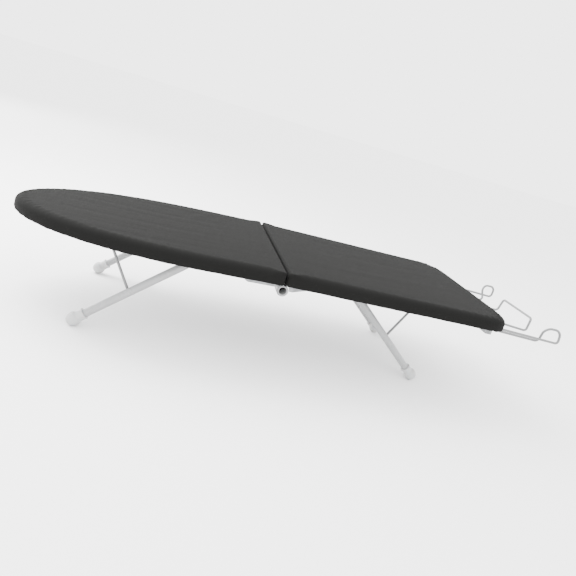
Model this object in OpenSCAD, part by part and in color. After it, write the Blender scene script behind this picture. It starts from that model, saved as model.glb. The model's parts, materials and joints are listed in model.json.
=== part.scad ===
// Folding table-top ironing board, standing open, with a pull-out wire iron rest.
// Each half is built outward from the seam along +X, with z = 0 on its ironing surface, and is then put in
// its place by on_square() or on_nose(). The finished part stands on z = 0, centred in X and Y.

/* [Board] */
// Length of the nose half, from the seam to its tip
nose_len = 430; // [350:5:520]
// Length of the square half, from the seam to its end
square_len = 416; // [360:2:490]
// Width across the covers
board_w = 330; // [270:5:400]
// Height of the ironing surface above the table
stand_h = 171; // [150:1:206]
// Straight stretch of the nose half beside the seam
nose_straight = 78; // [40:1:110]
// Exponent that fills out the sides of the nose
nose_fill = 2.5; // [2:0.05:3]
// Exponent that rounds the tip of the nose
nose_round = 1.85; // [1.6:0.05:2.2]
// Length over which the square end bows and its corners round
end_round = 60; // [50:1:90]
// Fullness of the square end: higher values give a flatter end with tighter corners
end_fill = 8; // [4:1:9]
// Gap between the two covers at the seam
seam_gap = 3; // [2:0.5:6]
// Angle by which the open nose half leans below level
nose_dip = 1.5; // [0:0.1:2]

/* [Layers] */
// Thickness of the cover cloth
cover_t = 1; // [0.6:0.1:1.5]
// Thickness of the felt pad
pad_t = 5.4; // [3:0.1:8]
// Thickness of the steel deck
deck_t = 1; // [0.8:0.1:1.5]
// Depth of the cover's side, from the ironing surface to the hem
skirt_h = 22.5; // [18:0.5:26]
// Width of the hem turned in under the rim
hem_w = 24; // [15:1:30]
// Thickness of the rim's steel
rim_t = 1.2; // [0.8:0.1:1.6]
// Width of the rim's bottom flange
flange_w = 22; // [20:1:28]
// Clearance between the cover and the rim or the pad
cover_clear = 0.1; // [0.05:0.05:0.3]

/* [Vents] */
// Length of a steam vent, across the board
vent_len = 28; // [16:1:34]
// Width of a steam vent
vent_w = 8; // [4:0.5:10]
// Spacing of the vents along the board
vent_pitch_x = 30; // [24:1:50]
// Spacing of the vents across the board
vent_pitch_y = 44; // [38:1:60]

/* [Hinge] */
// Depth of the fold axis below the ironing surface
hinge_drop = 32.5; // [32:0.5:38]
// Outer radius of the hinge tube
hinge_r = 8; // [6:0.1:8]
// Wall of the hinge tube
hinge_wall = 1.5; // [1:0.1:2]
// Thickness of the hinge leaves
leaf_t = 1.6; // [1.2:0.1:1.6]
// Width of a hinge leaf
leaf_w = 18; // [14:1:24]
// Reach of a hinge leaf from the fold axis
leaf_len = 70; // [50:1:85]
// Distance from the side of the board to a leaf
leaf_inset = 8; // [5:1:8]
// Depth of the stiffening side of the square half's leaf
gusset_h = 9; // [5:0.5:10]
// Depth of the turned-down edge of the nose half's leaves
leaf_flange_h = 5.5; // [4:0.5:7]
// Reach of the hinge tube past the leaves at each end
tube_proud = 1.5; // [0.5:0.5:3]
// Radial clearance of the hinge and of the leg pivots
run_clear = 0.05; // [0.02:0.01:0.08]
// Gap between neighbouring knuckles, and round them
knuckle_gap = 0.8; // [0.5:0.1:1.5]

/* [Legs] */
// Outer radius of the leg tube
tube_r = 6.5; // [5:0.1:7]
// Wall of the leg tube
tube_wall = 1.2; // [0.8:0.1:2]
// Centreline radius of the leg bends
leg_bend = 24; // [15:1:32]
// Distance of each leg pivot below its ironing surface
pivot_drop = 21; // [19:0.5:22]
// Distance from the seam to the front leg's pivot
front_pivot_x = 138; // [110:1:160]
// Distance from the seam to the rear leg's pivot
rear_pivot_x = 133; // [110:1:160]
// Distance from the nose's tip in to the front feet
front_foot_inset = 130; // [100:1:160]
// Distance from the square end in to the rear feet
rear_foot_inset = 116; // [90:1:130]
// Distance from the side of the board in to the front legs
front_leg_inset = 42; // [36:1:52]
// Distance from the side of the board in to the rear legs
rear_leg_inset = 63; // [60:1:80]
// Radius of a foot cap's head
foot_r = 11; // [10:0.5:11]
// Height of the flat worn onto each foot
foot_flat = 0.4; // [0.2:0.1:1]
// Radius of a foot cap's collar
collar_r = 8.6; // [7.8:0.1:9]
// Length of a foot cap's collar behind its head
collar_len = 20; // [14:1:26]
// Depth to which a cap's head is solid in front of the tube
cap_stop = 3; // [1:0.5:5]

/* [Leg clips] */
// Width of a leg clip
clip_w = 16; // [12:1:24]
// Thickness of a leg clip round the tube
clip_t = 2.2; // [1.5:0.1:2.4]
// Thickness of the feet of clips and guides
foot_plate_t = 1.5; // [1:0.1:2]
// Distance from a leg in to its clip
clip_inset = 52; // [48:1:56]
// Radius of a rivet's shank
rivet_r = 1.6; // [1.2:0.1:2]
// Radius of a rivet's head
rivet_head_r = 3.2; // [2.6:0.1:4]
// Height of a rivet's head
rivet_head_h = 1.2; // [0.8:0.1:1.6]

/* [Braces] */
// Radius of the brace and rest wire
wire_r = 2.3; // [1.8:0.1:2.4]
// Distance along a front leg from its pivot to its brace pin
front_brace_pin = 118; // [90:1:130]
// Distance along a rear leg from its pivot to its brace pin
rear_brace_pin = 124; // [100:1:130]
// Length of the front brace from its pins to its crossbar
front_brace_len = 85; // [76:0.5:95]
// Length of the rear brace from its pins to its crossbar
rear_brace_len = 98; // [90:0.5:100]
// Side gap between a brace and its leg
brace_gap = 0.4; // [0.3:0.1:1]
// Least distance outward from a brace's pins to its crossbar, for which a steep leg gets a longer brace
brace_reach = 30; // [24:1:34]
// Distance that each arm of a brace leans in towards its crossbar
brace_taper = 25; // [20:1:34]
// Depth of a brace's crossbar below its ironing surface
guide_drop = 21; // [19:0.5:22]
// Length of a guide's slot
guide_slot = 24; // [16:1:30]
// Thickness of a guide's plate
guide_t = 3; // [2:0.1:4]
// Distance from the middle of the board to each guide
guide_y = 44; // [30:1:50]
// Room above the front brace's crossbar in its guides
front_guide_room = 1.5; // [1.3:0.1:4]
// Room above the rear brace's crossbar in its guides
rear_guide_room = 4; // [3.8:0.1:5]

/* [Iron rest] */
// Distance from the square end to the tip of the rest
rest_reach = 145; // [135:1:170]
// Distance that the rest's outer wires lie in from the side of the board
rest_outer_inset = 44.5; // [42:0.5:50]
// Distance that the rest's inner wires lie in from the side of the board
rest_inner_inset = 61; // [58:0.5:66]
// Half width of the rest's middle loop at its top bar
rest_bar_half = 50; // [36:1:60]
// Length of wire under the board when the rest is pulled out
rest_tail = 26; // [24:1:30]
// Depth of the outer wires below the ironing surface at their tails
rest_drop = 27.5; // [27.5:0.1:29]
// Fall of the rest's wires for each millimetre outward
rest_slope = 0.04; // [0.03:0.005:0.05]
// Clearance of the rest's wires in their clips
rest_clear = 0.3; // [0.2:0.05:0.5]
// Length of the clips that hold the rest
rest_clip_len = 12; // [10:1:14]

/* [Hidden] */
$fn = 64;

eps = 0.01;
bend_lap = 0.3;
bend_swell = 0.04;
outline_steps = 26;
half_w = board_w / 2;
seam_x = seam_gap / 2;
pad_top = cover_t;
deck_top = pad_top + pad_t;
deck_under = deck_top + deck_t;
hem_t = cover_t;
rim_foot = skirt_h - hem_t;
rim_inset = cover_t + cover_clear;
knuckle_r = hinge_r + run_clear + leaf_t;
leaf_top = hinge_drop - knuckle_r;
leaf_y = half_w - leaf_inset - leaf_w / 2;
hinge_half = half_w - leaf_inset + tube_proud;
knuckle_w = (leaf_w - knuckle_gap) / 2;
front_y = half_w - front_leg_inset;
rear_y = half_w - rear_leg_inset;
pin_bend = wire_r + 0.1;
pin_depth = tube_r - tube_wall - 1;
foot_z = foot_r - foot_flat - stand_h;
front_foot_x = nose_len - front_foot_inset;
rear_foot_x = square_len - rear_foot_inset;
tip_x = square_len + rest_reach;
far_left = nose_len * cos(nose_dip) + hinge_drop * sin(nose_dip);
mid_x = (tip_x + wire_r - far_left) / 2;
clip_rivet = tube_r + clip_t + 7;

steel_paint = "gainsboro";
zinc = "silver";
cloth = "dimgray";
felt = "lightgray";
plastic = "whitesmoke";

// ---- places ----

module on_square() { translate([-mid_x, 0, stand_h]) children(); }

// The nose half is mirrored outward from the seam and leans about the fold axis.
module on_nose() {
    translate([-mid_x, 0, stand_h - hinge_drop]) rotate([0, -nose_dip, 0]) translate([0, 0, hinge_drop])
        mirror([1, 0, 0]) children();
}

module both_sides() { children(); mirror([0, 1, 0]) children(); }

// A point of the open board, as [outward, height], in the frame of a half that leans by dip.
function in_half(u, z, dip) = let (h = z + hinge_drop)
    [u * cos(dip) - h * sin(dip), u * sin(dip) + h * cos(dip) - hinge_drop];

front_foot = in_half(front_foot_x, foot_z, nose_dip);
rear_foot = in_half(rear_foot_x, foot_z, 0);
front_pivot = [front_pivot_x, -pivot_drop];
rear_pivot = [rear_pivot_x, -pivot_drop];

function along(p, q, d) = p + (q - p) * (d / norm(q - p));
function brace_top(b, len) = let (square_reach = pow(len, 2) - pow(guide_drop + b[1], 2))
    [b[0] + max(sqrt(max(square_reach, 0)), brace_reach), -guide_drop];

front_pin = along(front_pivot, front_foot, front_brace_pin);
rear_pin = along(rear_pivot, rear_foot, rear_brace_pin);
front_top = brace_top(front_pin, front_brace_len);
rear_top = brace_top(rear_pin, rear_brace_len);

// ---- outlines ----

// Half width of the nose half at a distance u from the seam.
function nose_half_w(u) = u <= nose_straight ? half_w
    : let (s = (u - nose_straight) / (nose_len - nose_straight))
        half_w * pow(max(1 - pow(s, nose_fill), 0), 1 / nose_round);

// Half width of the square half at a distance u from the seam.
function square_half_w(u) = u <= square_len - end_round ? half_w
    : half_w * pow(max(1 - pow((u - square_len + end_round) / end_round, 3), 0), 1 / end_fill);

// The curved part of each outline, from the side round to the middle of the end.
nose_curve = [for (i = [0:outline_steps]) let (s = sin(90 * i / outline_steps))
    [nose_straight + s * (nose_len - nose_straight),
        half_w * pow(max(1 - pow(s, nose_fill), 0), 1 / nose_round)]];
square_curve = [for (i = [0:outline_steps]) let (a = 90 * i / outline_steps)
    [square_len - end_round + end_round * pow(sin(a), 2 / 3), half_w * pow(max(cos(a), 0), 2 / end_fill)]];

// Moves each point of a curve inward by d, square to the line between its neighbours.
function inset_curve(c, d) = [for (i = [0:len(c) - 1])
    let (a = i == 0 ? c[0] - [1, 0] : c[i - 1],
        b = i == len(c) - 1 ? [c[i][0], -c[i - 1][1]] : c[i + 1],
        t = (b - a) / norm(b - a))
    [c[i][0] + t[1] * d, max(c[i][1] - t[0] * d, 0)]];

module outline(curve, d) {
    side = inset_curve(curve, d);
    polygon(concat([[seam_x + d, half_w - d]], side,
        [for (i = [len(side) - 2:-1:0]) [side[i][0], -side[i][1]]], [[seam_x + d, d - half_w]]));
}

// A layer of the board between two depths, inset by d.
module layer(curve, d, top, bottom) {
    translate([0, 0, -bottom]) linear_extrude(bottom - top) outline(curve, d);
}

module cover(curve) {
    color(cloth) difference() {
        layer(curve, 0, 0, skirt_h);
        layer(curve, cover_t, cover_t, skirt_h - hem_t);
        layer(curve, hem_w, skirt_h - hem_t - eps, skirt_h + eps);
    }
}

module pad(curve) { color(felt) layer(curve, rim_inset, pad_top, deck_top); }

module rim(curve) {
    color(steel_paint) difference() {
        layer(curve, rim_inset, deck_under, rim_foot);
        layer(curve, rim_inset + rim_t, deck_under - eps, rim_foot - rim_t);
        layer(curve, flange_w, rim_foot - rim_t - eps, rim_foot + eps);
        both_sides() leaf_rivet_places() translate([0, 0, -rim_foot - eps]) cylinder(rim_t + 1, r = rivet_r);
    }
}

module vent() {
    straight = (vent_len - vent_w) / 2;
    square([vent_w, 2 * straight], center = true);
    for (s = [-1, 1]) translate([0, s * straight]) circle(vent_w / 2);
}

// True where a vent at [u, y] clears the rim and the feet of the clips and guides.
function vent_ok(u, y, w, pivot, top, clip_y) =
    abs(y) + vent_len / 2 + flange_w < w
    && !(abs(u - pivot) < clip_rivet + 12 && abs(abs(y) - clip_y) < clip_w / 2 + vent_len / 2 + 3)
    && !(abs(u - top - guide_slot / 2) < guide_slot / 2 + 16 && abs(abs(y) - guide_y) < vent_len / 2 + 10);

module deck(curve, length, widths, pivot, top, clip_y) {
    color(steel_paint) difference() {
        layer(curve, rim_inset, deck_top, deck_under);
        for (i = [1:floor((length - 40) / vent_pitch_x)], j = [-3:3]) {
            u = 14 + i * vent_pitch_x;
            y = (j + (i % 2 == 0 ? 0.5 : 0)) * vent_pitch_y;
            if (vent_ok(u, y, widths[i], pivot, top, clip_y))
                translate([u, y, -deck_under - 1]) linear_extrude(deck_t + 2) vent();
        }
        deck_rivet_places(pivot, top, clip_y)
            translate([0, 0, -deck_under - 1]) cylinder(deck_t + 2, r = rivet_r);
    }
}

// ---- rivets ----

module deck_rivet_places(pivot, top, clip_y) {
    guide_rivet_y = guide_y + guide_t / 2 + 5;
    for (s = [-1, 1], m = [-1, 1]) {
        translate([pivot + m * clip_rivet, s * clip_y, 0]) children();
        translate([top + guide_slot / 2 + m * (guide_slot / 2 - 3), s * guide_rivet_y, 0]) children();
    }
}

leaf_rivet_x = [flange_w - 6, leaf_len - 10];
module leaf_rivet_places() { for (u = leaf_rivet_x) translate([u, leaf_y, 0]) children(); }

module deck_rivets(pivot, top, clip_y) {
    deck_rivet_places(pivot, top, clip_y) {
        translate([0, 0, -deck_under - foot_plate_t]) cylinder(foot_plate_t + deck_t, r = rivet_r);
        translate([0, 0, -deck_under - foot_plate_t - rivet_head_h]) cylinder(rivet_head_h, r = rivet_head_r);
    }
}

module leaf_rivets() {
    both_sides() leaf_rivet_places() {
        translate([0, 0, -leaf_top - leaf_t]) cylinder(leaf_top + leaf_t - rim_foot + rim_t, r = rivet_r);
        translate([0, 0, -leaf_top - leaf_t - rivet_head_h]) cylinder(rivet_head_h, r = rivet_head_r);
    }
}

// ---- bent wire and tube ----

function unit(v) = v / norm(v);

// A straight rod between two points.
module rod(p, q, r) {
    d = q - p;
    translate(p) rotate([0, acos(d[2] / norm(d)), atan2(d[1], d[0])]) cylinder(norm(d), r = r);
}

// An arc of rod round the corner at b of the line a, b, c.
module bend(a, b, c, bend_r, r) {
    d = unit(b - a);
    e = unit(c - b);
    turn = acos(d * e);
    n = unit(cross(d, e));
    out = cross(d, n);
    centre = b - d * bend_r * tan(turn / 2) - out * bend_r;
    multmatrix([[out[0], d[0], n[0], centre[0]], [out[1], d[1], n[1], centre[1]],
        [out[2], d[2], n[2], centre[2]], [0, 0, 0, 1]])
        rotate_extrude(angle = turn) translate([bend_r, 0]) circle(r);
}

// How much of the line on each side of corner i is left to its bend, which the rods enter by bend_lap.
function taken(p, radii, i) = i == 0 || i == len(p) - 1 ? 0
    : radii[i] * tan(acos(unit(p[i] - p[i - 1]) * unit(p[i + 1] - p[i])) / 2) - bend_lap;

// A rod along a list of points, bent at each inner point to its own centreline radius.
module bent_rod(p, radii, r) {
    for (i = [0:len(p) - 2])
        rod(along(p[i], p[i + 1], taken(p, radii, i)), along(p[i + 1], p[i], taken(p, radii, i + 1)), r);
    for (i = [1:len(p) - 2]) bend(p[i - 1], p[i], p[i + 1], radii[i], r + bend_swell);
}

// ---- legs, feet and braces ----

// The leg pair is one tube: its crossbar is the pivot, and its two ends are the legs.
module leg(pivot, foot, y, pin) {
    inner_end = along(foot, pivot, cap_stop - 1);
    outer_end = along(foot, pivot, cap_stop);
    module run(end, r) {
        bent_rod([[end[0], -y, end[1]], [pivot[0], -y, pivot[1]],
            [pivot[0], y, pivot[1]], [end[0], y, end[1]]], [0, leg_bend, leg_bend, 0], r);
    }
    color(steel_paint) difference() {
        run(outer_end, tube_r);
        run(inner_end, tube_r - tube_wall);
        both_sides() translate([pin[0], y - tube_r - 1, pin[1]]) rotate([-90, 0, 0])
            cylinder(tube_wall + 2, r = wire_r + run_clear);
    }
}

// A mushroom cap: a rimmed collar on the tube and a round head that stands on a small flat.
module foot_cap(pivot, foot, y) {
    fall = atan2(pivot[1] - foot[1], foot[0] - pivot[0]);
    color(plastic) difference() {
        translate([foot[0], y, foot[1]]) rotate([0, 90 + fall, 0]) {
            difference() {
                union() {
                    sphere(foot_r);
                    translate([0, 0, -6]) cylinder(6, r1 = collar_r, r2 = foot_r);
                    translate([0, 0, -collar_len]) cylinder(collar_len, r = collar_r);
                    translate([0, 0, -collar_len]) cylinder(2.5, r = collar_r + 0.8);
                }
                translate([0, 0, -collar_len - 1]) cylinder(collar_len + 1 - cap_stop, r = tube_r);
            }
        }
        children();
    }
}

module brace(pin, top, y) {
    arm_y = y - tube_r - brace_gap - wire_r;
    end_y = y - tube_r + tube_wall + pin_depth - wire_r;
    top_y = arm_y - brace_taper;
    color(steel_paint)
        bent_rod([[pin[0], -end_y, pin[1]], [pin[0], -arm_y, pin[1]], [top[0], -top_y, top[1]],
            [top[0], top_y, top[1]], [pin[0], arm_y, pin[1]], [pin[0], end_y, pin[1]]],
            [0, pin_bend, 8, 8, pin_bend, 0], wire_r);
}

// ---- clips and guides ----

module leg_clips(pivot, y) {
    color(zinc) difference() {
        both_sides() translate([pivot, y, 0]) {
            translate([0, clip_w / 2, -pivot_drop]) rotate([90, 0, 0]) cylinder(clip_w, r = tube_r + clip_t);
            translate([-tube_r - clip_t, -clip_w / 2, -pivot_drop])
                cube([2 * (tube_r + clip_t), clip_w, pivot_drop - deck_under]);
            translate([-clip_rivet - 5, -clip_w / 2, -deck_under - foot_plate_t])
                cube([2 * clip_rivet + 10, clip_w, foot_plate_t]);
        }
        translate([pivot, half_w, -pivot_drop]) rotate([90, 0, 0]) cylinder(board_w, r = tube_r + run_clear);
        for (s = [-1, 1], m = [-1, 1])
            translate([pivot + m * clip_rivet, s * y, -deck_under - foot_plate_t - 1])
                cylinder(foot_plate_t + 2, r = rivet_r);
    }
}

// A guide hangs from the deck, and its slot is open outward, where the brace's crossbar leaves it.
module brace_guides(top, room) {
    back = wire_r + 0.5;
    low = wire_r + 1;
    high = wire_r + room;
    lip = 3;
    foot_low = -deck_under - foot_plate_t;
    rivet_y = guide_y + guide_t / 2 + 5;
    color(zinc) both_sides() difference() {
        union() {
            translate([top - back - lip, guide_y - guide_t / 2, -guide_drop - low - lip])
                cube([guide_slot + back + lip, guide_t, guide_drop + low + lip - deck_under]);
            translate([top - 3, guide_y - guide_t / 2, foot_low])
                cube([guide_slot + 3, guide_t + 10, foot_plate_t]);
        }
        translate([top - back, guide_y - guide_t, -guide_drop - low])
            cube([guide_slot + back + 1, 2 * guide_t, low + high]);
        for (m = [-1, 1])
            translate([top + guide_slot / 2 + m * (guide_slot / 2 - 3), rivet_y, foot_low - 1])
                cylinder(foot_plate_t + 2, r = rivet_r);
    }
}

// ---- hinge ----

// The turned-down outer edge of each leaf: where it starts, starts to taper and ends, and its depth.
square_flange = [6, 16, leaf_len * 0.55, gusset_h];
nose_flange = [knuckle_r + 2, leaf_len - 12, leaf_len - 6, leaf_flange_h];

// A leaf is a strap curled round the hinge tube: first_y is where its own knuckle starts.
module leaf(first_y, flange) {
    other_y = leaf_y * 2 - first_y - knuckle_w;
    color(zinc) difference() {
        union() {
            translate([0, leaf_y, -leaf_top - leaf_t]) linear_extrude(leaf_t)
                polygon([[0, -leaf_w / 2], [leaf_len - 6, -leaf_w / 3], [leaf_len, 0],
                    [leaf_len - 6, leaf_w / 3], [0, leaf_w / 2]]);
            translate([0, first_y + knuckle_w, -hinge_drop]) rotate([90, 0, 0])
                cylinder(knuckle_w, r = knuckle_r);
            translate([0, leaf_y + leaf_w / 2, 0]) rotate([90, 0, 0]) linear_extrude(leaf_t)
                polygon([[flange[0], -leaf_top], [flange[2], -leaf_top], [flange[2], -leaf_top - leaf_t],
                    [flange[1], -leaf_top - flange[3]], [flange[0], -leaf_top - flange[3]]]);
        }
        translate([0, leaf_y + leaf_w, -hinge_drop]) rotate([90, 0, 0])
            cylinder(2 * leaf_w, r = hinge_r + run_clear);
        translate([0, other_y + knuckle_w + knuckle_gap / 2, -hinge_drop]) rotate([90, 0, 0])
            cylinder(knuckle_w + knuckle_gap, r = knuckle_r + knuckle_gap);
        translate([-board_w, leaf_y - leaf_w, -hinge_drop + hinge_r])
            cube([board_w, 2 * leaf_w, 2 * knuckle_r]);
        leaf_rivet_places() translate([0, 0, -leaf_top - leaf_t - 1]) cylinder(leaf_t + 2, r = rivet_r);
    }
}

inner_knuckle_y = leaf_y - leaf_w / 2;
outer_knuckle_y = leaf_y + leaf_w / 2 - knuckle_w;

module hinge_tube_body() {
    color(steel_paint) translate([0, hinge_half, -hinge_drop]) rotate([90, 0, 0]) difference() {
        cylinder(2 * hinge_half, r = hinge_r);
        translate([0, 0, -1]) cylinder(2 * hinge_half + 2, r = hinge_r - hinge_wall);
    }
}

// ---- iron rest ----

tail_x = square_len - rest_tail;
rest_outer_y = half_w - rest_outer_inset;
rest_inner_y = half_w - rest_inner_inset;
function rest_z(x, drop) = -drop - (x - tail_x) * rest_slope;
inner_drop = rest_drop + 9.6;

// One side of the rest, from the tail of its outer wire round the ear and back to its middle loop.
rest_side = [
    [tail_x, rest_outer_y, rest_z(tail_x, rest_drop)],
    [tip_x, rest_outer_y, rest_z(tip_x, rest_drop)],
    [tip_x - 2, rest_outer_y - 3, rest_z(tip_x, rest_drop) + 25],
    [tip_x - 37, rest_outer_y - 5, rest_z(tip_x, rest_drop) + 25],
    [tip_x - 29, rest_inner_y, rest_z(tip_x - 29, inner_drop)],
    [tail_x, rest_inner_y, rest_z(tail_x, inner_drop)],
    [tail_x, rest_bar_half - 20, rest_z(tail_x, inner_drop)],
    [tip_x - 21, rest_bar_half + 3, rest_z(tip_x - 21, inner_drop)],
    [tip_x - 18, rest_bar_half, rest_z(tip_x - 21, inner_drop) + 27]];
rest_radii = [0, 6, 13, 13, 7, 7, 7, 6, 6];

module iron_rest_wire() {
    far = [for (i = [len(rest_side) - 1:-1:0]) [rest_side[i][0], -rest_side[i][1], rest_side[i][2]]];
    back = [for (i = [len(rest_radii) - 1:-1:0]) rest_radii[i]];
    color(steel_paint) bent_rod(concat(rest_side, far), concat(rest_radii, back), wire_r);
}

// A clip under the square end: the rest's two wires run through it side by side.
module rest_clip() {
    x0 = square_len - rest_clip_len - 5;
    wall = 2;
    channel = wire_r + rest_clear;
    low = -rest_z(x0 + rest_clip_len, inner_drop) + channel + wall;
    color(zinc) difference() {
        translate([x0, rest_inner_y - channel - wall, -low])
            cube([rest_clip_len, rest_outer_y - rest_inner_y + 2 * (channel + wall), low - skirt_h]);
        rod([tail_x - 20, rest_outer_y, rest_z(tail_x - 20, rest_drop)],
            [tip_x, rest_outer_y, rest_z(tip_x, rest_drop)], channel);
        rod([tail_x - 20, rest_inner_y, rest_z(tail_x - 20, inner_drop)],
            [tip_x, rest_inner_y, rest_z(tip_x, inner_drop)], channel);
    }
}

// ---- nodes ----

module square_deck() {
    on_square() deck(square_curve, square_len,
        [for (i = [0:40]) square_half_w(14 + i * vent_pitch_x + vent_w / 2 + flange_w * 0.6)],
        rear_pivot_x, rear_top[0], rear_y - clip_inset);
}
module square_rim() { on_square() rim(square_curve); }
module square_pad() { on_square() pad(square_curve); }
module square_cover() {
    on_square() color(cloth) difference() {
        cover(square_curve);
        both_sides() leaf_rivet_places() translate([0, 0, -skirt_h - 1]) cylinder(hem_t + 1.5, r = rivet_r);
    }
}
module square_leaf_far() { on_square() leaf(inner_knuckle_y, square_flange); }
module square_leaf_near() { on_square() mirror([0, 1, 0]) leaf(inner_knuckle_y, square_flange); }
module hinge_tube() { on_square() hinge_tube_body(); }
module rear_leg_clips() { on_square() leg_clips(rear_pivot_x, rear_y - clip_inset); }
module rear_brace_guides() { on_square() brace_guides(rear_top[0], rear_guide_room); }
module rest_clip_far() { on_square() rest_clip(); }
module rest_clip_near() { on_square() mirror([0, 1, 0]) rest_clip(); }
module square_rivets() {
    on_square() color(zinc) {
        deck_rivets(rear_pivot_x, rear_top[0], rear_y - clip_inset);
        leaf_rivets();
    }
}
module rear_leg() { on_square() leg(rear_pivot, rear_foot, rear_y, rear_pin); }

// The table under the open board, as a block to cut the feet flat.
module table() { translate([-2 * nose_len, -board_w, -stand_h - 50]) cube([4 * nose_len, 2 * board_w, 50]); }
module rear_foot_far() { on_square() foot_cap(rear_pivot, rear_foot, rear_y) table(); }
module rear_foot_near() { on_square() mirror([0, 1, 0]) foot_cap(rear_pivot, rear_foot, rear_y) table(); }
module rear_brace() { on_square() brace(rear_pin, rear_top, rear_y); }
module iron_rest() { on_square() iron_rest_wire(); }

module nose_deck() {
    on_nose() deck(nose_curve, nose_len,
        [for (i = [0:40]) nose_half_w(14 + i * vent_pitch_x + vent_w / 2 + flange_w * 0.6)],
        front_pivot_x, front_top[0], front_y - clip_inset);
}
module nose_rim() { on_nose() rim(nose_curve); }
module nose_pad() { on_nose() pad(nose_curve); }
module nose_cover() {
    on_nose() color(cloth) difference() {
        cover(nose_curve);
        both_sides() leaf_rivet_places() translate([0, 0, -skirt_h - 1]) cylinder(hem_t + 1.5, r = rivet_r);
    }
}
module nose_leaf_far() { on_nose() leaf(outer_knuckle_y, nose_flange); }
module nose_leaf_near() { on_nose() mirror([0, 1, 0]) leaf(outer_knuckle_y, nose_flange); }
module front_leg_clips() { on_nose() leg_clips(front_pivot_x, front_y - clip_inset); }
module front_brace_guides() { on_nose() brace_guides(front_top[0], front_guide_room); }
module nose_rivets() {
    on_nose() color(zinc) {
        deck_rivets(front_pivot_x, front_top[0], front_y - clip_inset);
        leaf_rivets();
    }
}
module front_leg() { on_nose() leg(front_pivot, front_foot, front_y, front_pin); }

// The same block as the leaning nose half sees it.
module leaning_table() {
    mirror([1, 0, 0]) translate([0, 0, -hinge_drop]) rotate([0, nose_dip, 0])
        translate([0, 0, hinge_drop]) table();
}
module front_foot_far() { on_nose() foot_cap(front_pivot, front_foot, front_y) leaning_table(); }
module front_foot_near() {
    on_nose() mirror([0, 1, 0]) foot_cap(front_pivot, front_foot, front_y) leaning_table();
}
module front_brace() { on_nose() brace(front_pin, front_top, front_y); }

square_deck();
square_rim();
square_pad();
square_cover();
square_leaf_near();
square_leaf_far();
hinge_tube();
rear_leg_clips();
rear_brace_guides();
rest_clip_near();
rest_clip_far();
square_rivets();
rear_leg();
rear_foot_near();
rear_foot_far();
rear_brace();
iron_rest();
nose_deck();
nose_rim();
nose_pad();
nose_cover();
nose_leaf_near();
nose_leaf_far();
front_leg_clips();
front_brace_guides();
nose_rivets();
front_leg();
front_foot_near();
front_foot_far();
front_brace();
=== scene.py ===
# Folding table-top ironing board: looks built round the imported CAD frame, in metres.
# Each half of the board has its own frame: u runs outward from the seam, y across, z = 0 on the ironing surface.
import json
import math

import bmesh
import bpy
import numpy as np
from mathutils import Matrix, Vector


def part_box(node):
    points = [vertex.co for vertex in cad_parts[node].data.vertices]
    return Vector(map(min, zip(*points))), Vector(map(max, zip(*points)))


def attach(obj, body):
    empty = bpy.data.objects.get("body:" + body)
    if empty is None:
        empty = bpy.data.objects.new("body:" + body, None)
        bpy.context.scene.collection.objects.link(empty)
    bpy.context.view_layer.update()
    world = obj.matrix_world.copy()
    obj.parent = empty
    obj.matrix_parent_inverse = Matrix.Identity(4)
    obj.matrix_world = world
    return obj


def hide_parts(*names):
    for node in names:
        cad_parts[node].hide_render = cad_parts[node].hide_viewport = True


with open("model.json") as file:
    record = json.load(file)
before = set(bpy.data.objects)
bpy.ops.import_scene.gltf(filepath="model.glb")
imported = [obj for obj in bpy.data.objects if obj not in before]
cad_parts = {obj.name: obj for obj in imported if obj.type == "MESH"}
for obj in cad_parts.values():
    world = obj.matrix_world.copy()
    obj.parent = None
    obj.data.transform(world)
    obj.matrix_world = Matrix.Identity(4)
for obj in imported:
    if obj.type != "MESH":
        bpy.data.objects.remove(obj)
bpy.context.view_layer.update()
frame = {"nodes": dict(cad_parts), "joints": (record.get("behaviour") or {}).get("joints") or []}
joints = {j["name"]: j for j in frame["joints"]}
scene = bpy.context.scene

# Camera first.

cameraView = {
    "place": (-0.2685, -0.9047, 0.3920),
    "aim": (-0.0379, -0.0816, 0.1200),
    "roll": 17.0,       # degrees, turned anticlockwise
    "lens": 32.5,       # mm
    "sensor": 36,       # mm
    "clip": 0.01,
}


def makeCamera():
    data = bpy.data.cameras.new("camera")
    data.lens = cameraView["lens"]
    data.sensor_width = cameraView["sensor"]
    data.clip_start = cameraView["clip"]
    camera = bpy.data.objects.new("camera", data)
    place = Vector(cameraView["place"])
    ahead = (Vector(cameraView["aim"]) - place).normalized()
    level = ahead.cross(Vector((0, 0, 1))).normalized()
    above = level.cross(ahead)
    roll = math.radians(cameraView["roll"])
    right = level * math.cos(roll) + above * math.sin(roll)
    up = above * math.cos(roll) - level * math.sin(roll)
    turned = Matrix((right, up, -ahead)).transposed().to_4x4()
    camera.matrix_world = Matrix.Translation(place) @ turned
    scene.collection.objects.link(camera)
    scene.camera = camera


makeCamera()
print("camera placed")

# The board's own measures, most of them taken from the frame.

squareLow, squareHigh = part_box("square_cover")
hinge = Vector(joints["board_fold"]["pos_m"])
board = {
    "halfWidth": squareHigh.y,
    "top": squareHigh.z,
    "seamX": hinge.x,
    "seamGap": 2 * (squareLow.x - hinge.x),
    "squareLength": squareHigh.x - hinge.x,
    "noseLength": 0.430,
    "noseStraight": 0.078,   # straight stretch beside the seam
    "noseFill": 2.5,         # exponents of the nose's outline, along and across
    "noseRound": 1.85,
    "endRound": 0.060,       # length over which the square end turns
    "endTurn": 3,            # exponents of its outline, along and across
    "endFill": 8,
    "noseDip": math.radians(1.5),
    "hingeDrop": squareHigh.z - hinge.z,
    "skirt": squareHigh.z - squareLow.z,
}
halves = ("nose", "square")


def halfLength(half):
    return board["noseLength"] if half == "nose" else board["squareLength"]


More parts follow.
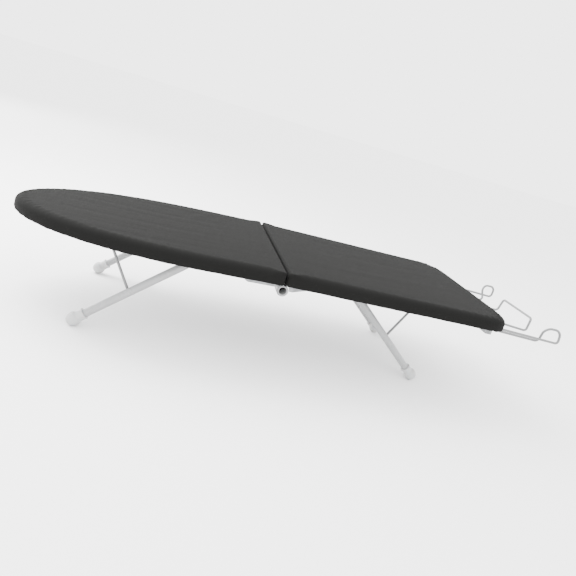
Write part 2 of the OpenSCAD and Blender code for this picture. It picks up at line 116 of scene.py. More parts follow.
def placeHalf(half, points):
    # u, y, z of a half put where the half stands: the nose half is mirrored and leans about the fold axis
    u, y, z = points[..., 0], points[..., 1], points[..., 2]
    if half == "square":
        return np.stack([board["seamX"] + u, y, board["top"] + z], axis=-1)
    h = z + board["hingeDrop"]
    c, s = math.cos(board["noseDip"]), math.sin(board["noseDip"])
    low = board["top"] - board["hingeDrop"]
    return np.stack([board["seamX"] - u * c - h * s, y, low - u * s + h * c], axis=-1)


# Mesh helpers.


def meshObject(name, points, faces, material, smooth=True, uv=None):
    mesh = bpy.data.meshes.new(name)
    mesh.from_pydata([tuple(p) for p in np.asarray(points, float)], [], [tuple(f) for f in faces])
    if uv is not None:
        layer = mesh.uv_layers.new(name="flatCut")
        corner = np.zeros(len(mesh.loops), np.int32)
        mesh.loops.foreach_get("vertex_index", corner)
        layer.data.foreach_set("uv", np.asarray(uv, np.float32)[corner].ravel())
    mesh.polygons.foreach_set("use_smooth", np.full(len(mesh.polygons), smooth))
    mesh.materials.append(material)
    mesh.validate()
    piece = bpy.data.objects.new(name, mesh)
    scene.collection.objects.link(piece)
    return piece


def ringFaces(rings, around):
    # quads between neighbouring closed rings of points numbered ring by ring
    i = np.arange(rings - 1)[:, None] * around
    j = np.arange(around)[None, :]
    ahead = (j + 1) % around
    return np.stack([i + j, i + ahead, i + around + ahead, i + around + j], axis=-1).reshape(-1, 4)


def outwards(piece, merge=1e-6):
    # merges points closer than the given distance and turns every face outwards
    work = bmesh.new()
    work.from_mesh(piece.data)
    bmesh.ops.remove_doubles(work, verts=work.verts, dist=merge)
    bmesh.ops.recalc_face_normals(work, faces=work.faces)
    work.to_mesh(piece.data)
    work.free()


def applyModifiers(piece):
    bpy.context.view_layer.update()
    done = piece.evaluated_get(bpy.context.evaluated_depsgraph_get())
    mesh = bpy.data.meshes.new_from_object(done)
    piece.modifiers.clear()
    piece.data = mesh


# Shader helpers.


def newGroup(name, inputs, outputs):
    group = bpy.data.node_groups.new(name, "ShaderNodeTree")
    for label, kind, value in inputs:
        socket = group.interface.new_socket(label, in_out="INPUT", socket_type=kind)
        if value is not None:
            socket.default_value = value
    for label, kind in outputs:
        group.interface.new_socket(label, in_out="OUTPUT", socket_type=kind)
    return group, group.nodes.new("NodeGroupInput"), group.nodes.new("NodeGroupOutput")


class Wires:
    # short ways to add nodes to one tree and join them
    def __init__(self, tree):
        self.tree = tree

    def put(self, target, value):
        if hasattr(value, "is_linked") or hasattr(value, "links"):
            self.tree.links.new(value, target)
        else:
            target.default_value = value

    def node(self, kind, **values):
        made = self.tree.nodes.new(kind)
        for key, value in values.items():
            setattr(made, key, value)
        return made

    def math(self, operation, a, b=0.0):
        made = self.node("ShaderNodeMath", operation=operation)
        self.put(made.inputs[0], a)
        self.put(made.inputs[1], b)
        return made.outputs[0]

    def noise(self, vector, scale, detail=2.0, rough=0.5, distort=0.0):
        made = self.node("ShaderNodeTexNoise")
        self.put(made.inputs["Vector"], vector)
        self.put(made.inputs["Scale"], scale)
        made.inputs["Detail"].default_value = detail
        made.inputs["Roughness"].default_value = rough
        made.inputs["Distortion"].default_value = distort
        return made.outputs["Fac"]

    def span(self, value, low, high, toLow=0.0, toHigh=1.0):
        # the value's run from low to high, spread over the run from toLow to toHigh and held there
        made = self.node("ShaderNodeMapRange")
        for socket, v in zip(made.inputs, (value, low, high, toLow, toHigh)):
            self.put(socket, v)
        return made.outputs[0]

    def mix(self, share, a, b):
        made = self.node("ShaderNodeMix", data_type="RGBA")
        colourA, colourB, result = made.inputs[6], made.inputs[7], made.outputs[2]
        self.put(made.inputs[0], share)
        self.put(colourA, a)
        self.put(colourB, b)
        return result

    def stretch(self, vector, scale):
        made = self.node("ShaderNodeMapping")
        self.put(made.inputs["Vector"], vector)
        made.inputs["Scale"].default_value = scale
        return made.outputs["Vector"]

    def bump(self, height, strength, distance, under=None):
        made = self.node("ShaderNodeBump")
        self.put(made.inputs["Height"], height)
        made.inputs["Strength"].default_value = strength
        made.inputs["Distance"].default_value = distance
        if under is not None:
            self.put(made.inputs["Normal"], under)
        return made.outputs["Normal"]


def newMaterial(name, slots):
    # a Principled surface with its plain values set, and the helper for its tree
    made = bpy.data.materials.new(name)
    made.use_nodes = True
    surface = made.node_tree.nodes["Principled BSDF"]
    for key, value in slots.items():
        surface.inputs[key].default_value = value
    return made, surface, Wires(made.node_tree)


def useGroup(w, group, vector, **values):
    made = w.node("ShaderNodeGroup", node_tree=group)
    w.put(made.inputs["Vector"], vector)
    for key, value in values.items():
        made.inputs[key].default_value = value
    return made.outputs


def objectPlace(w):
    return w.node("ShaderNodeTexCoord").outputs["Object"]


weaveShape = {
    "swayScale": 90.0,   # of the noise that bends the threads
    "sway": 0.0012,      # how far it bends them
    "slubLong": 14.0,    # scales of the noise that thickens the threads, along and across them
    "slubFine": 900.0,
    # power that eases the threads' height into the painted shade between threads
    "threadShadePower": 0.6,
}


def makeWeaveGroup():
    # Plain weave: the height of each set of threads is the size of a sine across it, and the two sets pass over
    # each other in turn. The thread-shade output is that height eased by a power, used as painted shade: dark in
    # the gaps between threads and light on their crowns.
    # Noise drawn out along each set gives the threads their uneven thickness.
    group, entry, leave = newGroup("plainWeave", [
        ("Vector", "NodeSocketVector", None), ("Threads", "NodeSocketFloat", 1600.0),
        ("Unevenness", "NodeSocketFloat", 0.3)], [
        ("Height", "NodeSocketFloat"), ("ThreadShade", "NodeSocketFloat"), ("Slub", "NodeSocketFloat")])
    w = Wires(group)
    vector, threads = entry.outputs["Vector"], entry.outputs["Threads"]
    parts = w.node("ShaderNodeSeparateXYZ")
    w.put(parts.inputs[0], vector)
    sway = w.math("MULTIPLY", w.noise(vector, weaveShape["swayScale"], 2.0), weaveShape["sway"])
    x = w.math("MULTIPLY", w.math("ADD", parts.outputs[0], sway), threads)
    y = w.math("MULTIPLY", w.math("ADD", parts.outputs[1], sway), threads)
    warp = w.math("ABSOLUTE", w.math("SINE", w.math("MULTIPLY", x, math.pi)))
    weft = w.math("ABSOLUTE", w.math("SINE", w.math("MULTIPLY", y, math.pi)))
    cell = w.math("ADD", w.math("FLOOR", x), w.math("FLOOR", y))
    over = w.math("GREATER_THAN", w.math("FLOORED_MODULO", cell, 2.0), 0.5)
    under = w.math("SUBTRACT", 1.0, over)
    height = w.math("ADD", w.math("MULTIPLY", warp, over), w.math("MULTIPLY", weft, under))
    long, fine = weaveShape["slubLong"], weaveShape["slubFine"]
    along = w.noise(w.stretch(vector, (long, fine, 1.0)), 1.0, 2.0)
    across = w.noise(w.stretch(vector, (fine, long, 1.0)), 1.0, 2.0)
    slub = w.math("ADD", w.math("MULTIPLY", along, 0.5), w.math("MULTIPLY", across, 0.5))
    thicker = w.math("MULTIPLY", w.math("SUBTRACT", slub, 0.5), entry.outputs["Unevenness"])
    w.put(leave.inputs["Height"], w.math("ADD", height, thicker))
    # painted shade: low in the gaps between threads, high on their crowns
    w.put(leave.inputs["ThreadShade"], w.math("POWER", height, weaveShape["threadShadePower"]))
    w.put(leave.inputs["Slub"], slub)
    return group


coatShape = {
    "gritScale": 1.7,            # the specks' scale for each unit of the peel's
    "dullRange": (0.35, 0.70),   # noise over which the coat turns dull
    "speckRange": (0.72, 0.78),  # and over which a speck shows
}


def makeCoatGroup():
    # powder coat: fine orange peel, with broad dull patches and a few specks, each a noise of its own scale
    group, entry, leave = newGroup("powderCoat", [
        ("Vector", "NodeSocketVector", None), ("Peel", "NodeSocketFloat", 900.0),
        ("Patch", "NodeSocketFloat", 28.0)], [
        ("Height", "NodeSocketFloat"), ("Dullness", "NodeSocketFloat"), ("Specks", "NodeSocketFloat")])
    w = Wires(group)
    vector, peelScale = entry.outputs["Vector"], entry.outputs["Peel"]
    patch = w.noise(vector, entry.outputs["Patch"], 4.0, 0.6, 0.4)
    grit = w.noise(vector, w.math("MULTIPLY", peelScale, coatShape["gritScale"]), 1.0)
    w.put(leave.inputs["Height"], w.noise(vector, peelScale, 3.0, 0.55))
    w.put(leave.inputs["Dullness"], w.span(patch, *coatShape["dullRange"]))
    w.put(leave.inputs["Specks"], w.span(grit, *coatShape["speckRange"]))
    return group


weave = makeWeaveGroup()
coat = makeCoatGroup()

# Materials. A bump is given as its strength and its depth.

cloth = {
    # dark is the painted shade in the gaps between threads, light the tone on their crowns
    "dark": (0.0040, 0.0040, 0.0039, 1),
    "light": (0.0084, 0.0084, 0.0081, 1),
    "faded": (0.0098, 0.0098, 0.0094, 1),
    "threads": 1500.0,           # to the metre
    "unevenness": 0.35,
    "heather": 0.35,             # how much the thicker threads fade it
    "patches": 0.22,             # how much broad patches fade it
    "patchScale": 7.0,
    "roughness": (0.74, 0.90),
    "foldScale": (5.0, 34.0, 1.0),
    "foldBump": (0.14, 0.002),
    "weaveBump": (0.22, 0.0002),
}


def makeCoverCloth():
    made, surface, w = newMaterial("coverCloth", {
        "Sheen Weight": 0.012, "Sheen Roughness": 0.45, "Specular IOR Level": 0.02})
    place = w.node("ShaderNodeUVMap", uv_map="flatCut").outputs[0]
    threads = useGroup(w, weave, place, Threads=cloth["threads"], Unevenness=cloth["unevenness"])
    # painted shade: the cloth is darker in the gaps between threads than on their crowns
    tone = w.mix(threads["ThreadShade"], cloth["dark"], cloth["light"])
    heather = w.span(threads["Slub"], 0.35, 0.65)
    tone = w.mix(w.math("MULTIPLY", heather, cloth["heather"]), tone, cloth["faded"])
    broad = w.noise(objectPlace(w), cloth["patchScale"], 4.0, 0.55, 0.6)
    tone = w.mix(w.span(broad, 0.3, 0.75, 0.0, cloth["patches"]), tone, cloth["faded"])
    w.put(surface.inputs["Base Color"], tone)
    w.put(surface.inputs["Roughness"], w.span(threads["Slub"], 0.3, 0.7, *cloth["roughness"]))
    folds = w.noise(w.stretch(place, cloth["foldScale"]), 1.0, 3.0, 0.5, 0.5)
    broadFolds = w.bump(folds, *cloth["foldBump"])
    w.put(surface.inputs["Normal"], w.bump(threads["Height"], *cloth["weaveBump"], broadFolds))
    return made


felt = {
    "low": (0.55, 0.55, 0.53, 1),
    "high": (0.80, 0.80, 0.77, 1),
    "fibres": 900.0,
    "fibreBump": (0.6, 0.0006),
}


def makeFelt():
    made, surface, w = newMaterial("padFelt", {"Roughness": 0.95, "Sheen Weight": 0.3, "Specular IOR Level": 0.2})
    fibres = w.noise(w.stretch(objectPlace(w), (1.0, 1.6, 1.0)), felt["fibres"], 6.0, 0.7, 1.2)
    w.put(surface.inputs["Base Color"], w.mix(fibres, felt["low"], felt["high"]))
    w.put(surface.inputs["Normal"], w.bump(fibres, *felt["fibreBump"]))
    return made


paint = {
    "dusty": 0.86,          # tone of the dull patches, for each unit of the paint's
    "speck": 0.55,          # and of the specks
    "share": 0.5,           # how much of each shows
    "dull": 0.14,           # how much rougher the dull patches are
    "peelBump": (0.25, 0.00015),
}


def makePaint(name, tone, roughness, peel=900.0):
    made, surface, w = newMaterial(name, {"Coat Weight": 0.15, "Coat Roughness": 0.25})
    skin = useGroup(w, coat, objectPlace(w), Peel=peel)
    dusty, speck = (tuple(paint[kind] * c for c in tone[:3]) + (1,) for kind in ("dusty", "speck"))
    colour = w.mix(w.math("MULTIPLY", skin["Dullness"], paint["share"]), tone, dusty)
    colour = w.mix(w.math("MULTIPLY", skin["Specks"], paint["share"]), colour, speck)
    w.put(surface.inputs["Base Color"], colour)
    half = paint["dull"] / 2
    w.put(surface.inputs["Roughness"], w.span(skin["Dullness"], 0.0, 1.0, roughness - half, roughness + half))
    w.put(surface.inputs["Normal"], w.bump(skin["Height"], *paint["peelBump"]))
    return made


zinc = {
    "bright": (0.24, 0.245, 0.25, 1),
    "grey": (0.13, 0.133, 0.136, 1),
    "grainScale": (60.0, 1400.0, 1400.0),
    "cloudScale": 120.0,
    "roughness": (0.24, 0.50),
    "grainBump": (0.2, 0.0001),
}


def makeZinc():
    made, surface, w = newMaterial("zincPlate", {"Metallic": 1.0})
    place = objectPlace(w)
    grain = w.noise(w.stretch(place, zinc["grainScale"]), 1.0, 3.0, 0.6)
    cloud = w.noise(place, zinc["cloudScale"], 3.0, 0.6, 0.3)
    w.put(surface.inputs["Base Color"], w.mix(w.span(cloud, 0.35, 0.7), zinc["bright"], zinc["grey"]))
    w.put(surface.inputs["Roughness"], w.span(w.math("ADD", grain, cloud), 0.6, 1.4, *zinc["roughness"]))
    w.put(surface.inputs["Normal"], w.bump(grain, *zinc["grainBump"]))
    return made


plastic = {
    "clean": (0.40, 0.405, 0.405, 1),
    "scuffed": (0.28, 0.28, 0.27, 1),
    "wornHeight": 0.006,    # height to which it is scuffed from standing on the table
    "scuffScale": (240.0, 900.0, 240.0),
    "grainScale": 1500.0,
    "roughness": (0.36, 0.50),
    "grainBump": (0.12, 0.0001),
}


def makeCapPlastic():
    made, surface, w = newMaterial("capPlastic", {"Subsurface Weight": 0.06, "Subsurface Scale": 0.004})
    place = objectPlace(w)
    parts = w.node("ShaderNodeSeparateXYZ")
    w.put(parts.inputs[0], place)
    worn = w.span(parts.outputs[2], 0.0, plastic["wornHeight"], 1.0, 0.0)
    scratch = w.span(w.noise(w.stretch(place, plastic["scuffScale"]), 1.0, 4.0, 0.65), 0.45, 0.7)
    scuff = w.math("MULTIPLY", worn, scratch)
    w.put(surface.inputs["Base Color"], w.mix(scuff, plastic["clean"], plastic["scuffed"]))
    grain = w.noise(place, plastic["grainScale"], 2.0)
    w.put(surface.inputs["Roughness"], w.span(grain, 0.3, 0.7, *plastic["roughness"]))
    w.put(surface.inputs["Normal"], w.bump(grain, *plastic["grainBump"]))
    return made


coverCloth = makeCoverCloth()
padFelt = makeFelt()
deckPaint = makePaint("deckPaint", (0.34, 0.345, 0.35, 1), 0.42)
tubePaint = makePaint("tubePaint", (0.27, 0.273, 0.275, 1), 0.30)
wirePaint = makePaint("wirePaint", (0.15, 0.152, 0.154, 1), 0.34, peel=1300.0)
zincPlate = makeZinc()
capPlastic = makeCapPlastic()
print("materials made")

# The first of these words that is part of a node's name decides its finish.
finishes = (
    ("cover", coverCloth), ("pad", padFelt), ("deck", deckPaint), ("rim", deckPaint), ("foot", capPlastic),
    ("leaf", zincPlate), ("clip", zincPlate), ("guides", zincPlate), ("rivets", zincPlate),
    ("leg", tubePaint), ("hinge_tube", tubePaint), ("brace", wirePaint), ("iron_rest", wirePaint),
)


def finishNodes():
    for name, node in frame["nodes"].items():
        node.data.materials.clear()
        node.data.materials.append(next(finish for word, finish in finishes if word in name))


finishNodes()
print("nodes finished")

# Covers.

cover = {
    "around": 520,          # points round the outline
    "cornerSteps": 16,      # points of each seam corner and of each side's end, before they are evenly spaced
    "endSteps": 240,
    "topRings": 30,
    "edgeRings": 10,        # rings round the top edge, down the side, round its foot and under
    "sideRings": 8,
    "footRings": 6,
    "underRings": 10,
    "edgeSide": 0.0120,     # depth of the rounded top edge along the sides
    "edgeSeam": 0.0036,     # and along the seam
    "edgeBreadth": 1.2,     # breadth of the side's edge for each unit of depth
    "seamBlend": 0.026,     # length over which the side's edge becomes the seam's
    "cornerSeam": 0.0046,   # radius of the seam's corners in plan
    "proud": 0.0016,        # how far the cloth stands out past the rim
    "fuller": 0.004,        # how far it bellies further past the square end
    "footRound": 0.0038,    # radius where the side turns under
    "hem": 0.0235,          # width turned under
    "hemBelly": 0.0006,     # how far the hem bows up in the middle of its width
    "thickness": 0.0008,
    "merge": 2e-5,          # points closer than this become one
    "spineIn": 0.150,       # where the spine that the top's rings grow from starts, from the seam
    "spineOut": 0.130,      # and how far short of the end it stops
    "leanLeast": 0.72,      # least share of the way to the spine that runs straight in from the outline
}

# Folds of the cover's band. Each set of waves has its counts round the outline, its shifts and its shares.
folds = {
    "ripple": ((61, 37, 83), (0.3, 1.9, 4.0), (0.5, 0.35, 0.25)),
    "drag": ((23, 14), (2.2, 5.1), (0.6, 0.4)),
    "pucker": ((122, 74), (0.9, 3.3), (0.6, 0.4)),
    "hang": ((97, 58, 41), (0.7, 2.9, 5.3), (0.45, 0.35, 0.2)),
    "rippleDepth": 0.0009,
    "dragDepth": 0.0006,
    "puckerDepth": 0.0014,
    "puckerDrop": 0.0003,   # most that a pucker may hang
    "sag": 0.0015,          # how far the gathers hang below the rim
    "sagFrom": 0.014,       # depth at which they start
    "sagBlend": 0.008,
    "sagClear": 0.085,      # distance from the seam within which nothing hangs, to clear the hinge
    "clearBlend": 0.030,
    "bunch": 0.0024,        # depth of the gathered lump under each square corner
    "bunchBack": 0.014,     # its place, in from the end and from the side, and its radius
    "bunchIn": 0.020,
    "bunchRadius": 0.011,
    "rippleLeast": 0.25,    # share of ripple, pucker and sag where nothing is gathered
    "puckerLeast": 0.35,
    "sagLeast": 0.12,
    "bendFull": 14.0,       # curvature of the outline at which the hem is fully gathered
    "bendReach": 6,         # outline points over which curvature is measured, each way
    "bendSmooth": 31,       # and over which it is smoothed
    "gatherClear": 0.030,   # distance from the seam within which nothing is gathered
    "gatherBlend": 0.050,
}

# Relief of the covers' tops: lengthwise drag lines on both, and on the nose half a crease beside a ridge.
relief = {
    "nose": {"lengths": (0.045, 0.0283, 0.0171), "shifts": (0.4, 2.1, 4.4), "depths": (0.00009, 0.00007, 0.00004),
             "slant": 0.05, "sway": 0.012, "swayRate": 9, "fade": 0.12},
    "square": {"lengths": (0.061, 0.037), "shifts": (1.7, 0.2), "depths": (0.00008, 0.00006),
               "slant": -0.06, "sway": 0.01, "swayRate": 11, "fade": 0.10},
    "seamClear": 0.03,
    "dents": (   # height, place along and across, half-breadth and half-length
        (-0.0004, 0.145, 0.098, 0.010, 0.028),
        (0.0006, 0.128, 0.100, 0.012, 0.034),
    ),
    "dentSlant": 0.5,
}


def cornerCurve(wide):
    # a quarter arc from the seam to the side
    seam, radius = board["seamGap"] / 2, cover["cornerSeam"]
    turn = np.linspace(0, math.pi / 2, cover["cornerSteps"])[::-1]
    return np.stack([seam + radius * (1 - np.sin(turn)), wide - radius * (1 - np.cos(turn))], axis=1)


def noseCurve(wide, grow):
    # a quarter superellipse from the straight stretch beside the seam to the tip
    share = np.sin(np.linspace(0, math.pi / 2, cover["endSteps"]))
    along = board["noseLength"] + grow - board["noseStraight"]
    across = (1 - share ** board["noseFill"]).clip(0) ** (1 / board["noseRound"])
    return np.stack([board["noseStraight"] + share * along, wide * across], axis=1)


def endCurve(wide, grow):
    # a quarter superellipse round the square end, its points denser where the end runs nearly straight across
    t = np.linspace(0, math.pi / 2, cover["endSteps"])
    t = math.pi / 2 * (1 - (1 - t / (math.pi / 2)) ** 3)
    start = board["squareLength"] - board["endRound"]
    along = (board["endRound"] + grow) * np.sin(t) ** (2 / board["endTurn"])
    return np.stack([start + along, wide * np.cos(t).clip(0) ** (2 / board["endFill"])], axis=1)


def halfOutline(half, count, grow=0.0, fuller=0.0):
    # A half's closed outline grown by a margin: one side's corner, straight side and end, then their mirror image.
    # Gives its points, evenly spaced, with the distance round to each and all the way round.
    wide = board["halfWidth"] + grow
    end = noseCurve(wide, grow) if half == "nose" else endCurve(wide, grow + fuller)
    side = np.concatenate([cornerCurve(wide), end])
    middle = [[board["seamGap"] / 2, 0]]
    loop = np.concatenate([middle, side, side[-2::-1] * [1, -1], middle])
    step = np.linalg.norm(np.diff(loop, axis=0), axis=1)
    loop = loop[np.concatenate([[True], step > 1e-7])]
    run = np.concatenate([[0], np.cumsum(np.linalg.norm(np.diff(loop, axis=0), axis=1))])
    at = np.linspace(0, run[-1], count, endpoint=False)
    return np.stack([np.interp(at, run, loop[:, k]) for k in (0, 1)], axis=1), at, run[-1]


def outwardOf(loop):
    # unit normals of a closed loop, taken over two neighbours each way, pointing out
    ahead = np.roll(loop, -2, axis=0) - np.roll(loop, 2, axis=0)
    normal = np.stack([ahead[:, 1], -ahead[:, 0]], axis=1)
    normal /= np.linalg.norm(normal, axis=1, keepdims=True)
    inside = (normal * (loop - loop.mean(axis=0))).sum(axis=1)
    return normal if inside.mean() > 0 else -normal


def spineOf(half, loop):
    # for each outline point, the nearest point of the half's middle line, kept short of both its ends
    along = np.clip(loop[:, 0], cover["spineIn"], halfLength(half) - cover["spineOut"])
    return np.stack([along, np.zeros(len(loop))], axis=1)


def waves(x, lengths, shifts, strengths):
    # a sum of sines of the given wavelengths
    return sum(a * np.sin(2 * math.pi * x / l + s) for l, s, a in zip(lengths, shifts, strengths))


def edgeShape(loop):
    # depth of the rounded top edge and breadth for each unit of it: the side's, eased into the seam's
    past = loop[:, 0] - board["seamGap"] / 2 - cover["cornerSeam"]
    seamward = np.clip(1 - past / cover["seamBlend"], 0, 1)
    seamward = seamward ** 2 * (3 - 2 * seamward)
    edge = cover["edgeSide"] + (cover["edgeSeam"] - cover["edgeSide"]) * seamward
    return edge, 1 + (cover["edgeBreadth"] - 1) * (1 - seamward)


def bandProfile(edge, breadth):
    # inset and depth of the band's rings: a quarter turn round the edge, straight down the side, a quarter turn
    # round its foot and straight under, with one column for each point round the outline
    depth, foot = board["skirt"], cover["footRound"]
    level = np.zeros_like(edge)
    a = np.linspace(0, math.pi / 2, cover["edgeRings"], endpoint=False)[:, None]
    side = np.linspace(0, 1, cover["sideRings"], endpoint=False)[:, None]
    b = np.linspace(0, math.pi / 2, cover["footRings"], endpoint=False)[:, None]
    under = np.linspace(0, 1, cover["underRings"])[:, None]
    inset = [breadth * edge * (1 - np.sin(a)), side * level,
             foot * (1 - np.cos(b)) + level, foot + under * (cover["hem"] - foot) + level]
    down = [edge * (1 - np.cos(a)), edge + side * (depth - foot - edge),
            depth - foot + foot * np.sin(b) + level, depth - cover["hemBelly"] * np.sin(under * math.pi) + level]
    return np.concatenate(inset), np.concatenate(down)


def bandPlan(loop, normal, spine, inset, reach):
    # Plan of the band's rings. As far as the edge reaches they lie straight in from the outline. What is turned
    # under past that heads for the spine, and runs further where that way leans from the outline's normal.
    inward = spine - loop
    inward /= np.linalg.norm(inward, axis=1, keepdims=True)
    lean = 1 / np.maximum((inward * -normal).sum(axis=1), cover["leanLeast"])
    near = np.minimum(inset, reach)
    far = np.maximum(inset - reach, 0) * lean
    return loop[None] - near[..., None] * normal[None] + far[..., None] * inward[None]


def gatherShare(loop, normal):
    # how strongly the hem is gathered: the outline's smoothed curvature as a share of the full one
    reach, smooth = folds["bendReach"], folds["bendSmooth"]
    turn, step = (np.linalg.norm(np.roll(v, -reach, axis=0) - np.roll(v, reach, axis=0), axis=1)
                  for v in (normal, loop))
    bend = turn / step
    kernel = np.hanning(smooth)
    wrapped = np.concatenate([bend[-(smooth // 2):], bend, bend[:smooth // 2]])
    bend = np.convolve(wrapped, kernel / kernel.sum(), mode="valid")
    clear = np.clip((loop[:, 0] - folds["gatherClear"]) / folds["gatherBlend"], 0, 1)
    return np.clip(bend / folds["bendFull"], 0, 1) * clear


def bandFolds(half, loop, at, around, normal, edge, inset, down):
    # How far each point of the band is pushed out and dropped. Ripples and drag lines grow down the side, puckers
    # grow in from the outline, gathers hang where the outline turns, and a lump sits under each square corner.
    def roundWaves(kind):
        counts, shifts, shares = folds[kind]
        return waves(at, [around / count for count in counts], shifts, shares)

    gather = gatherShare(loop, normal)
    depthShare = np.clip((down - edge) / (board["skirt"] - edge), 0, 1)
    inShare = np.clip((inset - cover["footRound"]) / (cover["hem"] - cover["footRound"]), 0, 1)
    push = (folds["rippleDepth"] * depthShare ** 1.5 * (folds["rippleLeast"] + gather)) * roundWaves("ripple")
    push = push + folds["dragDepth"] * depthShare * roundWaves("drag")
    pucker = folds["puckerDepth"] * inShare * (folds["puckerLeast"] + gather) * roundWaves("pucker")
    clear = np.clip((loop[:, 0] - folds["sagClear"]) / folds["clearBlend"], 0, 1)
    hang = np.clip(0.5 + 0.6 * roundWaves("hang"), 0, 1)
    hang = hang * np.clip((down - folds["sagFrom"]) / folds["sagBlend"], 0, 1)
    sag = folds["sag"] * (folds["sagLeast"] + gather) * hang * clear
    bunch = 0
    if half == "square":
        back = loop[:, 0] - board["squareLength"] + folds["bunchBack"]
        across = np.abs(loop[:, 1]) - board["halfWidth"] + folds["bunchIn"]
        near = np.exp(-(np.hypot(back, across) / folds["bunchRadius"]) ** 2)
        bunch = folds["bunch"] * near * np.sin(math.pi * inShare) ** 0.7
    return push, np.minimum(pucker, folds["puckerDrop"]) + sag + bunch, depthShare


def topRelief(half, u, y):
    # a sum of sines across the half, slanting and swaying along it and fading out towards both ends, and the dents,
    # each a bell curve
    kind = relief[half]
    across = y + kind["slant"] * u + kind["sway"] * np.sin(u * kind["swayRate"])
    lines = waves(across, kind["lengths"], kind["shifts"], kind["depths"])
    lines = lines * np.clip((u - relief["seamClear"]) / kind["fade"], 0, 1)
    height = lines * np.clip((halfLength(half) - u) / kind["fade"], 0, 1)
    if half == "nose":
        for rise, atU, atY, breadth, length in relief["dents"]:
            off = (u - atU) + relief["dentSlant"] * (y - atY)
            height = height + rise * np.exp(-(off / breadth) ** 2 - ((y - atY) / length) ** 2)
    return height


def coverPiece(half):
    # Rings of points, each with one point for each of the outline's: the top's are spread evenly from the spine to
    # the top edge, and the band's follow its profile. The flat cut is the top as it lies, with the band rolled out.
    loop, at, around = halfOutline(half, cover["around"], cover["proud"], cover["fuller"])
    normal = outwardOf(loop)
    spine = spineOf(half, loop)
    edge, breadth = edgeShape(loop)
    inset, down = bandProfile(edge[None, :], breadth[None, :])
    plan = bandPlan(loop, normal, spine, inset, edge * breadth)
    push, drop, depthShare = bandFolds(half, loop, at, around, normal, edge, inset, down)
    band = np.concatenate([plan + push[..., None] * normal[None], -(down + drop)[..., None]], axis=2)
    share = np.linspace(0, 1, cover["topRings"], endpoint=False)[:, None, None]
    rings = spine[None] + share * (plan[0] - spine)[None]
    top = np.concatenate([rings, np.zeros(rings.shape[:2] + (1,))], axis=2)
    points = np.concatenate([top, band])
    fade = np.ones(points.shape[:2])
    fade[cover["topRings"]:] = np.clip(1 - depthShare * 6, 0, 1)
    points[..., 2] += topRelief(half, points[..., 0], points[..., 1]) * fade
    step = np.linalg.norm(np.diff(np.stack([inset, down], axis=2), axis=0), axis=2)
    rolled = np.concatenate([np.zeros((1, len(loop))), np.cumsum(step, axis=0)])
    cut = np.concatenate([rings, plan[:1] + rolled[..., None] * normal[None]])
    piece = meshObject(f"{half}CoverCloth", placeHalf(half, points).reshape(-1, 3), ringFaces(*points.shape[:2]),
                       coverCloth, uv=cut.reshape(-1, 2))
    outwards(piece, cover["merge"])
    thick = piece.modifiers.new("thickness", "SOLIDIFY")
    thick.thickness = cover["thickness"]
    thick.offset = -1
    applyModifiers(piece)
    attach(piece, f"{half}_half")
    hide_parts(f"{half}_cover")


for half in halves:
    coverPiece(half)
print("covers made")

# Felt pads, each a slab with a rounded top edge, just inside its cover.

pad = {
    "around": 320,
    "rings": 20,
    "edgeRings": 10,
    "edge": 0.0080,      # depth of the rounded top edge
    "breadth": 1.6,      # its breadth for each unit of depth
    "inset": 0.0014,     # from the board's outline
    "top": 0.0014,       # depth of its top below the ironing surface
    "foot": 0.0064,      # and of its foot, on the deck
    "merge": 2e-5,
    "fill": 0.9,
}


def padPiece(half):
    # Rings of points from the spine out over the top, round the edge and back in underneath. The edge is the first
    # part of a quarter ellipse, cut off at the pad's foot.
    loop = halfOutline(half, pad["around"])[0]
    normal = outwardOf(loop)
    spine = spineOf(half, loop)
    last = math.acos(1 - (pad["foot"] - pad["top"]) / pad["edge"])
    a = np.linspace(0, last, pad["edgeRings"])
    inset = pad["inset"] + pad["breadth"] * pad["edge"] * (1 - np.sin(a))
    depth = pad["top"] + pad["edge"] * (1 - np.cos(a))
    edge = loop[None] - inset[:, None, None] * normal[None]
    share = np.linspace(0, 1, pad["rings"])[:, None, None]
    top = spine[None] + share[:-1] * (edge[0] - spine)[None]
    under = spine[None] + share[::-1][1:] * (edge[-1] - spine)[None]
    plan = np.concatenate([top, edge, under])
    depths = np.concatenate([np.full(len(top), pad["top"]), depth, np.full(len(under), pad["foot"])])
    points = np.concatenate([plan, np.broadcast_to(-depths[:, None, None], plan.shape[:2] + (1,))], axis=2)
    piece = meshObject(f"{half}PadFelt", placeHalf(half, points).reshape(-1, 3), ringFaces(*points.shape[:2]),
                       padFelt)
    outwards(piece, pad["merge"])
    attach(piece, f"{half}_half")
    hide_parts(f"{half}_pad")


for half in halves:
    padPiece(half)
print("pads made")

# Foot caps. The profile is in millimetres: distance outward from the middle of the head, and radius.

foot = {
    "radius": 0.011,
    "stand": 0.0106,     # height of the head's middle above the table
    "profile": [(-20.0, 6.7), (-20.0, 8.6), (-19.8, 9.0), (-19.2, 9.35), (-18.4, 9.4), (-17.8, 9.1), (-17.5, 8.6),
                (-17.2, 8.35), (-13.0, 8.2), (-9.6, 8.3), (-8.2, 8.7), (-7.0, 9.5), (-5.9, 10.3), (-4.6, 10.8),
                (-3.0, 11.0), (-1.4, 11.05), (0.6, 10.95), (2.6, 10.6), (4.6, 9.9), (6.4, 8.9), (8.0, 7.5),
                (9.3, 5.8), (10.2, 4.0), (10.8, 2.0), (11.0, 0.0)],
    "rings": 90,
    "smoothings": 3,
    "around": 72,
}


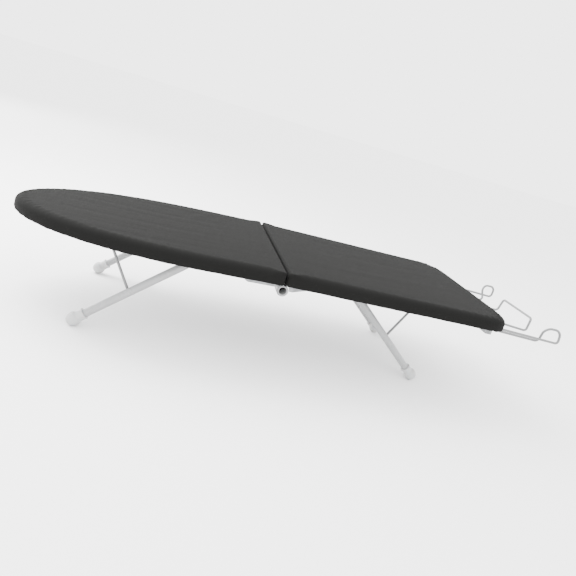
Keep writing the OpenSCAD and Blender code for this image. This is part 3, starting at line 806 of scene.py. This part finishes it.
def footPiece(end, side):
    # the profile, evenly spaced and smoothed, turned about the leg's line, and cut flat where it stands
    low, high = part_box(f"{end}_foot_{side}")
    pivot = Vector(joints[f"{end}_leg_fold"]["pos_m"])
    x = high.x - foot["radius"] if end == "rear" else low.x + foot["radius"]
    centre = np.array([x, (low.y + high.y) / 2, foot["stand"]])
    axis = centre - [pivot.x, centre[1], pivot.z]
    axis /= np.linalg.norm(axis)
    across = np.array([0.0, 1.0, 0.0])
    knots = np.array(foot["profile"]) / 1000
    run = np.concatenate([[0], np.cumsum(np.linalg.norm(np.diff(knots, axis=0), axis=1))])
    even = np.linspace(0, run[-1], foot["rings"])
    line = np.stack([np.interp(even, run, knots[:, k]) for k in (0, 1)], axis=1)
    for _ in range(foot["smoothings"]):
        line[1:-1] = (line[:-2] + 2 * line[1:-1] + line[2:]) / 4
    turn = np.linspace(0, 2 * math.pi, foot["around"], endpoint=False)[:, None]
    ring = np.cos(turn) * across + np.sin(turn) * np.cross(axis, across)
    points = centre + line[:, :1, None] * axis + line[:, 1, None, None] * ring[None]
    points[..., 2] = np.maximum(points[..., 2], 0)
    piece = meshObject(f"{end}{side.capitalize()}FootCap", points.reshape(-1, 3), ringFaces(*points.shape[:2]),
                       capPlastic)
    outwards(piece)
    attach(piece, f"{end}_legs")
    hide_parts(f"{end}_foot_{side}")


for end in ("front", "rear"):
    for side in ("near", "far"):
        footPiece(end, side)
print("foot caps made")

# Floor and light.

studio = {
    "floorTone": (0.93, 0.93, 0.93, 1),
    "floorSize": 40.0,   # from its middle to each edge
    "world": 4.0,
    "panels": (          # name, place, aim, size and power in watts
        ("nosePanel", (-0.85, 0.45, 1.15), (-0.30, 0, 0.17), (0.9, 0.9), 42),
        ("backLeft", (-1.9, 1.9, 1.3), (-0.25, 0, 0.1), (1.8, 1.4), 60),
    ),
}


def makeFloor():
    pale = {"Base Color": studio["floorTone"], "Roughness": 0.95, "Specular IOR Level": 0.0}
    floor = newMaterial("floorPale", pale)[0]
    s = studio["floorSize"]
    corners = [(-s, -s, 0), (s, -s, 0), (s, s, 0), (-s, s, 0)]
    piece = meshObject("floor", corners, [(0, 1, 2, 3)], floor, smooth=False)


def makePanel(name, place, aim, size, power):
    data = bpy.data.lights.new(name, "AREA")
    data.shape = "RECTANGLE"
    data.size, data.size_y = size
    data.energy = power
    light = bpy.data.objects.new(name, data)
    place = Vector(place)
    way = (Vector(aim) - place).to_track_quat("-Z", "Y").to_matrix().to_4x4()
    light.matrix_world = Matrix.Translation(place) @ way
    scene.collection.objects.link(light)


def makeStudio():
    world = bpy.data.worlds.new("studio")
    world.use_nodes = True
    back = world.node_tree.nodes["Background"]
    back.inputs["Color"].default_value = (1, 1, 1, 1)
    back.inputs["Strength"].default_value = studio["world"]
    scene.world = world
    for panel in studio["panels"]:
        makePanel(*panel)


makeFloor()
makeStudio()
print("studio made")
